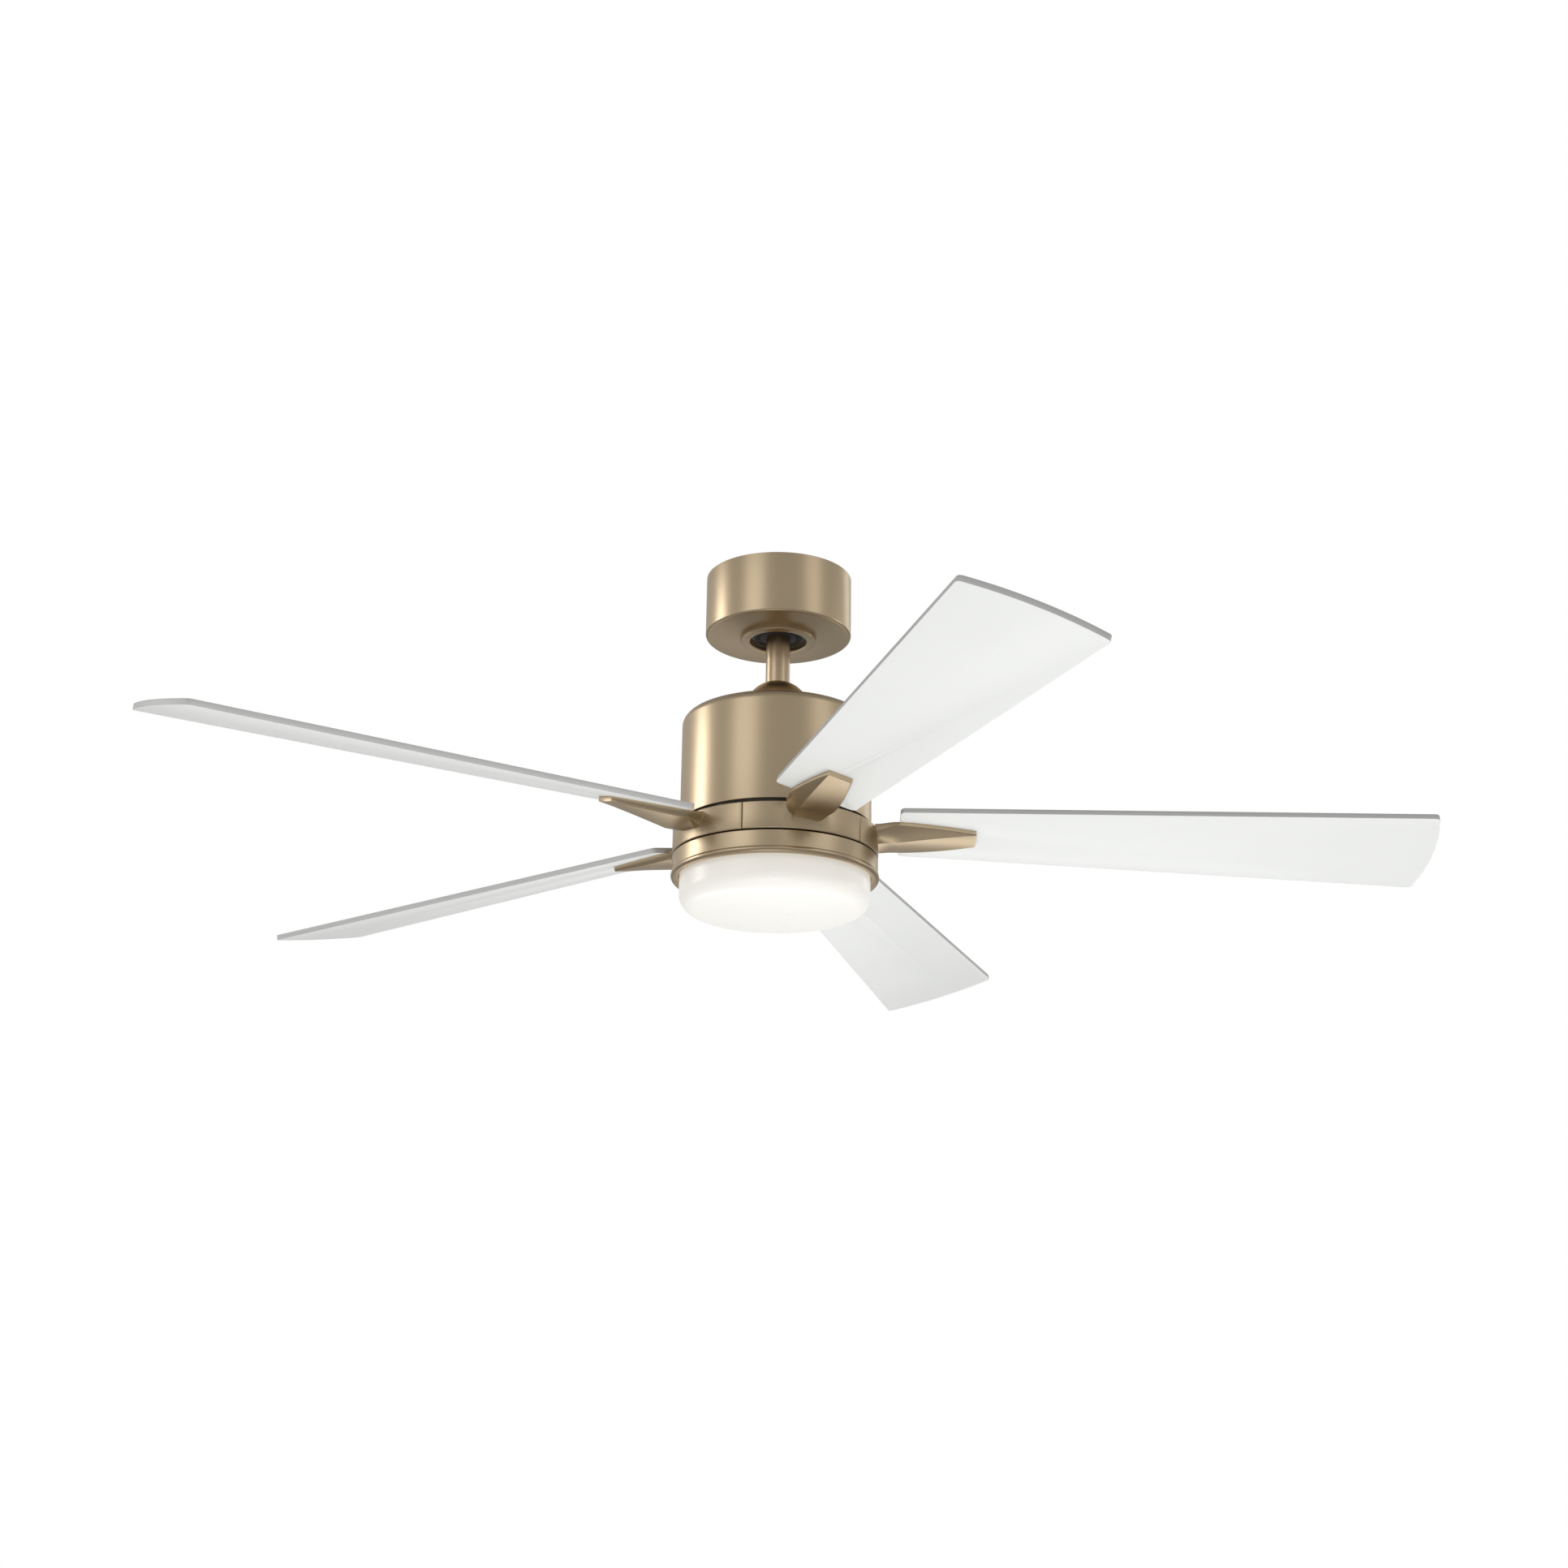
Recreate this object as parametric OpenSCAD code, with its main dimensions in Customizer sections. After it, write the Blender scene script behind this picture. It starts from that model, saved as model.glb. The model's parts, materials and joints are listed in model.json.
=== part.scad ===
// Five-blade ceiling fan with an opal light, hung on a short downrod.
// Origin: centre of the ceiling plane. +Z is up, so everything hangs below zero.
// Blade 1 points along +X and the others follow every 72 degrees.

/* [Overall] */
// Diameter swept by the blade tips
sweep_d = 1320.8; // [1060:0.4:1600]
// Drop from the ceiling to the top of the motor housing
housing_drop = 154.6; // [140:0.1:900]

/* [Canopy] */
// Outer diameter of the canopy
canopy_d = 150; // [146:1:220]
// Height of the canopy
canopy_h = 64; // [58:0.5:90]
// Rounding of the canopy's lower edge
canopy_edge_r = 2.5; // [1.5:0.1:6]
// Diameter of the opening that the downrod hangs through
canopy_opening_d = 58; // [54:0.5:62]
// Outer diameter of the trim ring under the canopy
canopy_ring_d = 78; // [76:0.5:110]
// Height of the trim ring
canopy_ring_h = 5; // [4:0.1:7]
// Thickness of the pressed steel covers
sheet_t = 1.2; // [0.8:0.1:1.6]

/* [Hanger bracket] */
// Distance between the two outlet box screws
slot_spacing = 88.9; // [70:0.1:90]
// Width of the outlet box slots
slot_w = 5.2; // [4.6:0.1:6]
// End-to-end length of the outlet box slots
slot_l = 14; // [8:0.5:16]
// Thickness of the bracket's steel
bracket_t = 2.5; // [2:0.1:3]
// Width of the bracket's top plate
bracket_w = 38; // [32:1:42]
// Width of the bracket's two legs
leg_w = 28; // [16:1:32]

/* [Hanger ball and downrod] */
// Diameter of the hanger ball
ball_d = 62; // [58:0.5:62]
// Height of the ball's centre above the canopy's lower face
ball_rise = 24; // [22:0.5:27]
// Thickness of the liner between ball and bracket
liner_t = 2; // [1.5:0.1:2.5]
// Outer diameter of the downrod
rod_d = 24.8; // [20:0.1:27]
// Wall of the downrod
rod_wall = 2; // [1.6:0.1:2.6]
// Diameter of the cross pins
cross_pin_d = 6.4; // [5:0.1:7]

/* [Motor housing] */
// Outer diameter of the motor housing
housing_d = 193; // [180:1:240]
// Height of the motor housing
housing_h = 114.4; // [108:0.1:160]
// Rounding of the housing's shoulder
shoulder_r = 10; // [4:0.5:16]
// Diameter of the dome that covers the coupling
cover_d = 69.4; // [66:0.1:74]
// Height of the dome that covers the coupling
cover_h = 38.3; // [36:0.1:40]
// Height of the dome's straight side
cover_side_h = 7; // [2:0.5:10]

/* [Motor] */
// Height of the spinning motor body
rotor_h = 56; // [54:1:62]
// Diameter of the hollow motor shaft
shaft_d = 16; // [14:0.5:18]
// Bore of the hollow motor shaft
shaft_bore = 9; // [8:0.5:10]
// Height of the iron core
core_h = 24; // [18:1:26]
// Number of slots in the core
core_slots = 16; // [8:2:24]
// Air gap between core and rotor ring
air_gap = 0.6; // [0.4:0.1:1]

/* [Blade hub and arms] */
// Open gap between the housing and the spinning band
housing_gap = 5.4; // [3:0.1:12]
// Outer diameter of the band made by the arms
band_d = 206.6; // [200:0.2:260]
// Height of the band
band_h = 27.5; // [26:0.1:36]
// Wall of the band
band_wall = 6; // [4:0.5:8]
// Width of the seam between two arms
seam_w = 0.9; // [0.5:0.1:2]
// Thickness of the hub that the arms are screwed to
hub_t = 12.4; // [11:0.1:16]
// How far the arm reaches past the band
arm_reach = 98.2; // [92:0.1:130]
// Width of the arm at its tip
arm_tip_w = 24; // [20:0.5:30]
// Width of the arm at the blade's root
arm_mid_w = 48; // [42:0.5:60]
// Width of the arm where it meets the band
arm_root_w = 43; // [38:0.5:50]
// Depth of the keel at the blade's root
keel_h = 18; // [15:0.5:20]
// Thickness of the arm at its tip
arm_tip_t = 5; // [5:0.1:8]

/* [Blades] */
// Thickness of a blade
blade_t = 5.5; // [4:0.1:8]
// Width of a blade at its root
blade_root_w = 83.2; // [70:0.2:110]
// Width of a blade at its tip
blade_tip_w = 133.4; // [90:0.2:180]
// Distance from the band to the blade's root
blade_root_gap = 21.1; // [19.2:0.1:27]
// How far the rounded tip stands out past its corners
tip_bulge = 7.9; // [2:0.1:20]
// Rounding of the blade's corners
blade_corner_r = 5; // [1:0.5:12]
// Pitch of the blades, the counter-clockwise edge being the low one
blade_pitch = 14.2; // [8:0.1:16]
// Droop of the blades towards the tip
blade_droop = 1.5; // [0:0.1:3]

/* [Light] */
// Open gap between the spinning band and the light ring
ring_gap = 1.6; // [1:0.1:4]
// Outer diameter of the light ring's straight side
ring_d = 206.4; // [190:0.2:250]
// Height of the light ring
ring_h = 23; // [20:0.1:32]
// Radius of the bead along the light ring's lower edge
bead_r = 4; // [3:0.1:5]
// How far the bead stands out past the straight side
bead_out = 1.2; // [0:0.1:2]
// Space between the glass and the bead
glass_gap = 0.8; // [0.5:0.1:2]
// How far the glass hangs below the light ring
glass_drop = 36.5; // [26:0.5:60]
// Radius of the glass's lower corner
glass_corner_r = 16; // [10:0.5:20]
// Radius of the glass's shallow dome
dome_r = 600; // [400:10:900]
// Thickness of the glass
glass_t = 3; // [2.5:0.1:4]
// Angle that the glass turns from locked to free
twist = 25; // [15:1:30]

/* [Hidden] */

// Finishes
champagne = [0.68, 0.59, 0.44];
steel = [0.62, 0.63, 0.65];
dark_steel = [0.30, 0.30, 0.32];
copper = [0.72, 0.42, 0.24];
white_board = [0.93, 0.94, 0.93];
opal = [0.98, 0.97, 0.94];
black_plastic = [0.10, 0.10, 0.11];
green_paint = [0.15, 0.45, 0.22];
cast_metal = [0.74, 0.75, 0.77];
lead_red = [0.70, 0.15, 0.12];
led_yellow = [0.95, 0.85, 0.45];

// Shared clearances and steps
play = 0.3;             // between surfaces that move past each other
fit = 0.05;             // around screws, pins and shafts
eps = 0.5;              // how far a cut runs past what it cuts
blade_count = 5;
blade_step = 360 / blade_count;
$fn = 96;

// Canopy and bracket
canopy_r = canopy_d / 2;
canopy_floor = -canopy_h + sheet_t;
opening_r = canopy_opening_d / 2;
canopy_ring_r = canopy_ring_d / 2;
canopy_screw_r = (opening_r + canopy_ring_r) / 2;
canopy_screw_turns = [45, 225];
canopy_screw_d = 4;
canopy_screw_head_d = 7.2;
canopy_screw_head_h = 2.3;
plate_l = slot_spacing + slot_l + 8;
wire_hole_r = 13;
ball_r = ball_d / 2;
ball_z = -canopy_h + ball_rise;
liner_in_r = ball_r + play;
liner_out_r = liner_in_r + liner_t;
cup_r = liner_out_r + play;
cup_h = 6.8;
cup_out_r = cup_r + 6.4;
cup_mouth_r = 25;
rod_slot_w = rod_d + 2.2;
leg_x = cup_r + 2.4;
receiver = [70, 24, 30];
receiver_y = cup_r + 0.4;
ground_screw_at = [26, 12];

// Ball, pin and rod
rod_r = rod_d / 2;
rod_in_r = rod_r - rod_wall;
ball_cut_up = 18;
ball_cut_down = 25;
rod_above_ball = 24;
liner_up = 8;
liner_down = 22.5;
pin_r = cross_pin_d / 2;
ball_pin_up = 13;
ball_pin_l = 44;
ball_slot_depth = 5;
ball_slot_w = 7;
ball_slot_down = 14;
tab_w = 4;
tab_h = 5;
tab_reach = 2.5;
set_screw_d = 5;

// Motor levels, from the top down
housing_r = housing_d / 2;
housing_top = -housing_drop;
housing_bottom = housing_top - housing_h;
cover_r = cover_d / 2;
coupling_r = 17;
coupling_rise = 4.6;
coupling_top = housing_top + coupling_rise;
flange_r = 38;
flange_t = 3;
flange_top = housing_top - sheet_t;
coupling_pin_z = housing_top - 11.4;
coupling_set_z = housing_top - 18;
rod_bottom = housing_top - 23.4;
coupling_pin_l = 44;
pin_head_r = pin_r + 1.8;
cotter_y = coupling_pin_l / 2 - 2.4;
cotter_r = 0.9;
cotter_eye_r = 2.6;
housing_screw_r = 27;
housing_screw_d = 4;
housing_screw_head_d = 7;
housing_screw_head_h = 2.4;
band_top = housing_bottom - housing_gap;
band_bottom = band_top - band_h;
band_r = band_d / 2;
band_in_r = band_r - band_wall;
rotor_bottom = band_top + hub_t;
rotor_top = rotor_bottom + rotor_h;
rotor_mid = (rotor_bottom + rotor_top) / 2;
coupling_bottom = rotor_top + 6;
shaft_r = shaft_d / 2;
shaft_top = rod_bottom - 4;

// Leads: beside the cross pins inside the rod, then over into the shaft's bore
lead_r = 2.8;
lead_wrap_r = 3.1;
lead_side = (pin_r + rod_in_r) / 2 + 0.2;
lead_top = ball_z + rod_above_ball - 3;
lead_bend_top = coupling_pin_z - pin_r - 2;
lead_bend_bottom = shaft_top + 2;

// Motor insides
rotor_gap = 5.3;
rotor_flange_r = housing_r - sheet_t - rotor_gap;
rotor_flange_t = 3;
rotor_wall = 3;
rotor_wall_r = rotor_flange_r - 6;
rotor_in_r = rotor_wall_r - rotor_wall;
rotor_plate_t = 3.5;
rotor_screw_r = (rotor_flange_r + rotor_wall_r) / 2;
rotor_screw_d = 3.6;
rotor_screw_head_d = 5.2;
rotor_ring_t = 15.4;
core_r = rotor_in_r - rotor_ring_t - air_gap;
core_slot_w = 5;
core_slot_l = 20;
core_rim = 2.5;
core_mouth_w = 2.4;
winding_in_r = core_r - core_slot_l - 1;
winding_out_r = core_r - 3;
winding_h = 9;
bearing_r = 16;
bearing_h = 9;
bearing_wall = 4;
race_t = 2.2;

// Blade hub and arms
hub_r = 66;
hub_hole_r = 12;
hub_pocket_r = 44;
hub_plate_t = 6;
hub_screw_r = 32;
hub_screw_d = 4.8;
hub_screw_head_d = 8.4;
hub_screw_head_h = 3;
web_in_r = 50;
web_t = 4;
arm_screw_r = 58;
arm_screw_turn = 15;
arm_screw_d = 4.8;
arm_screw_head_d = 8.4;
arm_screw_head_h = 3.2;
arm_screw_grip = 8;
band_chamfer = 0.8;
plane_rise = 2.4;
blade_plane = band_top + plane_rise;
arm_tip_s = band_r + arm_reach;
twist_end_s = band_r + 18.7;
keel_root_s = band_r - 3.8;
keel_root_h = 17;
root_lean = 0.7;         // share of the blade's pitch that the arm already has at the band
keel_side_t = 4;
keel_edge_t = 7.7;
keel_root_steps = 5;
keel_steps = 10;
ridge_w = 13;

// Blades and their screws, in the blade's own plane
blade_root_s = band_r + blade_root_gap;
tip_s = sweep_d / 2;
tip_corner_s = tip_s - tip_bulge;
tip_half_w = blade_tip_w / 2;
tip_arc_r = (tip_half_w * tip_half_w + tip_bulge * tip_bulge) / (2 * tip_bulge);
blade_hole_d = 5.2;
blade_screw_d = 4.6;
blade_screw_head_d = 8.6;
blade_screw_head_h = 1.8;
blade_screw_grip = 4.4;
washer_d = 12;
washer_t = 0.8;
blade_screws_at = [[blade_root_s + 17.6, -13], [blade_root_s + 17.6, 13], [blade_root_s + 57.6, 0]];

// Light levels and radii
ring_top = band_bottom - ring_gap;
ring_bottom = ring_top - ring_h;
ring_r = ring_d / 2;
ring_wall = 1.5;
ring_in_r = ring_r - ring_wall;
ring_flange_in_r = ring_r - 13;
bead_z = ring_bottom + bead_r;
bead_flat = 0.1;          // where the bead meets the mouth
bead_centre_r = ring_r + bead_out - bead_r;
bead_mouth_r = bead_centre_r - bead_r + bead_flat;
glass_r = bead_mouth_r - glass_gap;
pan_t = 1.5;
pan_top = ring_top - sheet_t;
pan_bottom = pan_top - pan_t;
pan_r = ring_in_r - fit;
nut_r = 13;
nut_h = 6;
shaft_bottom = pan_bottom - nut_h - 3;
ring_screw_r = ring_flange_in_r + 4.5;
ring_screw_d = 3.4;
ring_screw_head_d = 5.6;
ring_screw_head_h = 1.2;
board_r = glass_r - 17;
board_t = 1.5;
board_hole_r = 17;
board_screw_r = board_r - 8;
small_screw_d = 3;
small_screw_head_d = 5.6;
small_screw_head_h = 2;
led_size = 3.5;
led_t = 0.7;
led_rings = [[board_r * 0.82, 30], [board_r * 0.58, 20], [board_r * 0.34, 10]];
driver = [78, 34, 16];
driver_at = [0, 36];
capacitor = [46, 24, 18];
capacitor_at = [0, -34];
foot_l = 8;
foot_t = 2;

// Glass, collar and bayonet
glass_bottom = ring_bottom - glass_drop;
dome_z = glass_bottom + dome_r;
corner_reach = glass_r - glass_corner_r;
corner_z = dome_z - sqrt(pow(dome_r - glass_corner_r, 2) - pow(corner_reach, 2));
dome_edge_r = corner_reach * dome_r / (dome_r - glass_corner_r);
collar_top = pan_bottom - 2.2;
collar_h = 11.5;
collar_bottom = collar_top - collar_h;
collar_t = 2.6;
collar_r = glass_r - 0.1;
collar_in_r = collar_r - collar_t;
neck_r = collar_in_r - fit;
neck_top = collar_top - 1.5;
pin_count = 3;
bayonet_r = 1.8;
bayonet_z = collar_bottom + 4.6;
bayonet_tip_r = collar_in_r + 0.4;
bayonet_run_half_h = bayonet_r + play;

// Points along an arc about a centre, from one angle to another
function arc(centre, r, from, to, steps) = [for (i = [0 : steps])
    let (a = from + (to - from) * i / steps) [centre[0] + r * cos(a), centre[1] + r * sin(a)]];

function smooth(t) = t <= 0 ? 0 : t >= 1 ? 1 : t * t * (3 - 2 * t);
function mix(a, b, t) = a + (b - a) * t;

// A flat-topped profile with its lower outer corner rounded
module cup_profile(r, low, high, edge) {
    translate([0, low + edge]) square([r, high - low - edge]);
    translate([0, low]) square([r - edge, edge]);
    translate([r - edge, low + edge]) circle(edge);
}

// A ring between two radii and two levels
module tube(out_r, in_r, low, high) {
    difference() {
        translate([0, 0, low]) cylinder(r = out_r, h = high - low);
        translate([0, 0, low - eps]) cylinder(r = in_r, h = high - low + 2 * eps);
    }
}

module at_turns(r, turns) {
    for (a = turns) rotate(a) translate([r, 0, 0]) children();
}

function even_turns(count, first = 0) = [for (i = [0 : count - 1]) first + i * 360 / count];

// A pan-head screw with its thread pointing up and its head below z = 0
module screw_up(d, l, head_d, head_h) {
    cylinder(d = d, h = l);
    difference() {
        translate([0, 0, -head_h]) cylinder(d = head_d, h = head_h);
        cross_recess(-head_h, head_d * 0.55, head_h * 0.5);
    }
}

module cross_recess(z, l, depth) {
    w = l * 0.22;
    translate([-l / 2, -w / 2, z - eps]) cube([l, w, depth + eps]);
    translate([-w / 2, -l / 2, z - eps]) cube([w, l, depth + eps]);
}

// ---- Ceiling side ----

module slot_cut(x) {
    straight = slot_l - slot_w;
    for (side = [-1, 1]) translate([x + side * straight / 2, 0, -bracket_t - eps])
        cylinder(d = slot_w, h = bracket_t + 2 * eps);
    translate([x - straight / 2, -slot_w / 2, -bracket_t - eps])
        cube([straight, slot_w, bracket_t + 2 * eps]);
}

module bracket_plate() {
    ear_w = 24;
    difference() {
        union() {
            translate([-plate_l / 2, -bracket_w / 2, -bracket_t]) cube([plate_l, bracket_w, bracket_t]);
            translate([-ear_w / 2, 0, -bracket_t]) cube([ear_w, receiver_y + receiver[1], bracket_t]);
        }
        for (side = [-1, 1]) slot_cut(side * slot_spacing / 2);
        translate([0, 0, -bracket_t - eps]) cylinder(r = wire_hole_r, h = bracket_t + 2 * eps);
        translate([ground_screw_at[0], ground_screw_at[1], -bracket_t - eps])
            cylinder(d = small_screw_d + 2 * fit, h = bracket_t + 2 * eps);
    }
}

// The socket that carries the ball, open on one side so that the rod can be swung in
module bracket_cup() {
    difference() {
        tube(cup_out_r, cup_mouth_r, canopy_floor, canopy_floor + cup_h);
        translate([0, 0, ball_z]) sphere(r = cup_r);
        translate([-rod_slot_w / 2, -cup_out_r - eps, canopy_floor - eps])
            cube([rod_slot_w, cup_out_r + eps, cup_h + 2 * eps]);
        at_turns(canopy_screw_r, canopy_screw_turns) translate([0, 0, canopy_floor - eps])
            cylinder(d = canopy_screw_d + 2 * fit, h = cup_h + 2 * eps);
    }
}

module hanger_bracket() {
    leg_low = canopy_floor + cup_h - 2;
    color(dark_steel) {
        bracket_plate();
        bracket_cup();
        for (side = [-1, 1]) translate([side > 0 ? leg_x : -leg_x - bracket_t, -leg_w / 2, leg_low])
            cube([bracket_t, leg_w, -leg_low]);
        translate([ball_r - tab_reach, -tab_w / 2, ball_z - tab_h / 2])
            cube([leg_x - ball_r + tab_reach + eps, tab_w, tab_h]);
    }
}

module ground_screw() {
    color(green_paint) translate([ground_screw_at[0], ground_screw_at[1], -bracket_t])
        screw_up(small_screw_d, bracket_t - 0.1, small_screw_head_d, small_screw_head_h);
}

module control_receiver() {
    color(black_plastic) translate([-receiver[0] / 2, receiver_y, -bracket_t - receiver[2]]) cube(receiver);
}

module canopy() {
    color(champagne) difference() {
        rotate_extrude() difference() {
            cup_profile(canopy_r, -canopy_h, 0, canopy_edge_r);
            cup_profile(canopy_r - sheet_t, canopy_floor, eps, canopy_edge_r - sheet_t);
            translate([0, -canopy_h - eps]) square([opening_r, 3 * sheet_t]);
        }
        at_turns(canopy_screw_r, canopy_screw_turns) translate([0, 0, -canopy_h - eps])
            cylinder(d = canopy_screw_d + 4 * fit, h = 3 * sheet_t);
    }
}

module canopy_screws() {
    color(steel) at_turns(canopy_screw_r, canopy_screw_turns) translate([0, 0, -canopy_h])
        screw_up(canopy_screw_d, cup_h, canopy_screw_head_d, canopy_screw_head_h);
}

// Hollow trim ring that hides the canopy screws
module canopy_ring() {
    low = -canopy_h - canopy_ring_h;
    edge = 1.4;
    wall = 0.9;
    room = canopy_screw_head_h + play;
    color(champagne) rotate_extrude() difference() {
        union() {
            translate([opening_r, low + edge]) square([canopy_ring_r - opening_r, canopy_ring_h - edge]);
            translate([opening_r + edge, low]) square([canopy_ring_r - opening_r - 2 * edge, edge]);
            translate([opening_r + edge, low + edge]) circle(edge);
            translate([canopy_ring_r - edge, low + edge]) circle(edge);
        }
        translate([opening_r + wall, -canopy_h - room])
            square([canopy_ring_r - opening_r - 2 * wall, room + eps]);
    }
}

// ---- Ball joint and downrod ----

module ball_liner() {
    color(black_plastic) rotate_extrude() intersection() {
        translate([0, ball_z]) difference() {
            circle(liner_out_r);
            circle(liner_in_r);
        }
        translate([0, ball_z - liner_down]) square([liner_out_r + eps, liner_down - liner_up]);
    }
}

module hanger_ball() {
    color(black_plastic) difference() {
        translate([0, 0, ball_z]) sphere(r = ball_r);
        translate([-ball_r, -ball_r, ball_z + ball_cut_up]) cube([ball_d, ball_d, ball_r]);
        translate([-ball_r, -ball_r, ball_z - ball_cut_down - ball_r]) cube([ball_d, ball_d, ball_r]);
        translate([0, 0, ball_z - ball_r]) cylinder(r = rod_r + fit, h = ball_d);
        // groove that the cross pin drops into
        translate([-pin_r - fit, -ball_pin_l / 2 - 1, ball_z + ball_pin_up])
            cube([cross_pin_d + 2 * fit, ball_pin_l + 2, ball_r]);
        translate([0, ball_pin_l / 2 + 1, ball_z + ball_pin_up]) rotate([90, 0, 0])
            cylinder(r = pin_r + fit, h = ball_pin_l + 2);
        // slot for the bracket's tab, which stops the ball from spinning
        translate([ball_r - ball_slot_depth, -ball_slot_w / 2, ball_z - ball_slot_down])
            cube([ball_slot_depth + eps, ball_slot_w, ball_slot_down + ball_r]);
        translate([0, 0, ball_z]) rotate([-90, 0, 0]) cylinder(d = set_screw_d + 2 * fit, h = ball_r);
    }
}

module ball_cross_pin() {
    color(steel) translate([0, ball_pin_l / 2, ball_z + ball_pin_up]) rotate([90, 0, 0])
        cylinder(r = pin_r, h = ball_pin_l);
}

module ball_set_screw() {
    color(dark_steel) translate([0, rod_r, ball_z]) rotate([-90, 0, 0])
        cylinder(d = set_screw_d, h = ball_r - rod_r - 3);
}

module downrod() {
    color(champagne) difference() {
        tube(rod_r, rod_in_r, rod_bottom, ball_z + rod_above_ball);
        for (z = [ball_z + ball_pin_up, coupling_pin_z]) translate([0, rod_r + eps, z]) rotate([90, 0, 0])
            cylinder(r = pin_r + fit, h = rod_d + 2 * eps);
    }
}

// ---- Coupling and motor housing ----

module cover_profile(wall) {
    translate([0, -eps]) square([cover_r - wall, cover_side_h + eps]);
    translate([0, cover_side_h]) circle(cover_r - wall);
}

// Domed cover where the downrod meets the housing
module coupling_cover() {
    color(champagne) translate([0, 0, housing_top]) rotate_extrude() difference() {
        intersection() {
            cover_profile(0);
            square([cover_r, cover_h]);
        }
        intersection() {
            cover_profile(sheet_t);
            translate([0, -eps]) square([cover_r, cover_h - sheet_t + eps]);
        }
        square([rod_r + play, cover_h + eps]);
    }
}

module motor_coupling() {
    color(cast_metal) difference() {
        union() {
            translate([0, 0, coupling_bottom]) cylinder(r = coupling_r, h = coupling_top - coupling_bottom);
            translate([0, 0, flange_top - flange_t]) cylinder(r = flange_r, h = flange_t);
        }
        translate([0, 0, rod_bottom - 1]) cylinder(r = rod_r + fit, h = coupling_top - rod_bottom + 1 + eps);
        translate([0, 0, coupling_bottom - eps])
            cylinder(r = shaft_r + fit, h = rod_bottom - coupling_bottom + 2 * eps);
        translate([0, coupling_r + eps, coupling_pin_z]) rotate([90, 0, 0])
            cylinder(r = pin_r + fit, h = 2 * (coupling_r + eps));
        translate([-coupling_r - eps, 0, coupling_set_z]) rotate([0, 90, 0])
            cylinder(d = set_screw_d + 2 * fit, h = 2 * (coupling_r + eps));
        at_turns(housing_screw_r, even_turns(3, 90)) translate([0, 0, flange_top - flange_t - eps])
            cylinder(d = housing_screw_d + 2 * fit, h = flange_t + 2 * eps);
    }
}

// Headed pin through coupling and downrod, with a hole for the hairpin near its far end
module coupling_pin() {
    head_h = 2.4;
    color(steel) difference() {
        translate([0, -coupling_pin_l / 2, coupling_pin_z]) rotate([-90, 0, 0]) {
            cylinder(r = pin_r, h = coupling_pin_l);
            cylinder(r = pin_head_r, h = head_h);
        }
        translate([0, cotter_y, coupling_pin_z - pin_r - eps])
            cylinder(r = cotter_r + fit, h = 2 * (pin_r + eps));
    }
}

// Hairpin through the end of the coupling pin, its eye hanging down clear of coupling and flange
module coupling_cotter() {
    above = pin_r + 2;
    below = pin_r + 3.6;
    color(steel) translate([0, cotter_y, coupling_pin_z]) {
        translate([0, 0, -below]) cylinder(r = cotter_r, h = above + below);
        translate([0, 0, -below - cotter_eye_r]) rotate([90, 0, 0]) rotate_extrude()
            translate([cotter_eye_r, 0]) circle(cotter_r);
    }
}

module coupling_set_screws() {
    l = coupling_r - rod_r + 1;
    color(dark_steel) for (side = [0, 180]) rotate(side) translate([rod_r, 0, coupling_set_z])
        rotate([0, 90, 0]) cylinder(d = set_screw_d, h = l);
}

module motor_housing() {
    hole_r = coupling_r + 2;
    color(champagne) difference() {
        rotate_extrude() difference() {
            mirror([0, 1]) cup_profile(housing_r, -housing_top, -housing_bottom, shoulder_r);
            mirror([0, 1])
                cup_profile(housing_r - sheet_t, -flange_top, -housing_bottom + eps, shoulder_r - sheet_t);
            translate([0, flange_top - eps]) square([hole_r, sheet_t + 2 * eps]);
        }
        at_turns(housing_screw_r, even_turns(3, 90)) translate([0, 0, flange_top - eps])
            cylinder(d = housing_screw_d + 4 * fit, h = sheet_t + 2 * eps);
    }
}

module housing_screws() {
    l = sheet_t + flange_t - 0.2;
    color(champagne) at_turns(housing_screw_r, even_turns(3, 90)) translate([0, 0, housing_top])
        mirror([0, 0, 1]) screw_up(housing_screw_d, l, housing_screw_head_d, housing_screw_head_h);
}

// ---- Motor ----

module motor_shaft() {
    color(steel) tube(shaft_r, shaft_bore / 2, shaft_bottom, shaft_top);
}

module stator_core() {
    color(dark_steel) difference() {
        tube(core_r, shaft_r + fit, rotor_mid - core_h / 2, rotor_mid + core_h / 2);
        at_turns(core_r - core_slot_l, even_turns(core_slots))
            translate([0, -core_slot_w / 2, rotor_mid - core_h])
                cube([core_slot_l - core_rim, core_slot_w, 2 * core_h]);
        at_turns(core_r - core_rim - eps, even_turns(core_slots))
            translate([0, -core_mouth_w / 2, rotor_mid - core_h])
                cube([core_rim + 2 * eps, core_mouth_w, 2 * core_h]);
    }
}

module winding_profile() {
    edge = 3;
    w = winding_out_r - winding_in_r;
    translate([winding_in_r, 0]) square([w, winding_h - edge]);
    translate([winding_in_r + edge, 0]) square([w - 2 * edge, winding_h]);
    for (r = [winding_in_r + edge, winding_out_r - edge]) translate([r, winding_h - edge]) circle(edge);
}

module stator_windings() {
    color(copper) for (side = [0, 1]) translate([0, 0, rotor_mid]) mirror([0, 0, side])
        translate([0, 0, core_h / 2]) rotate_extrude() winding_profile();
}

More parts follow.
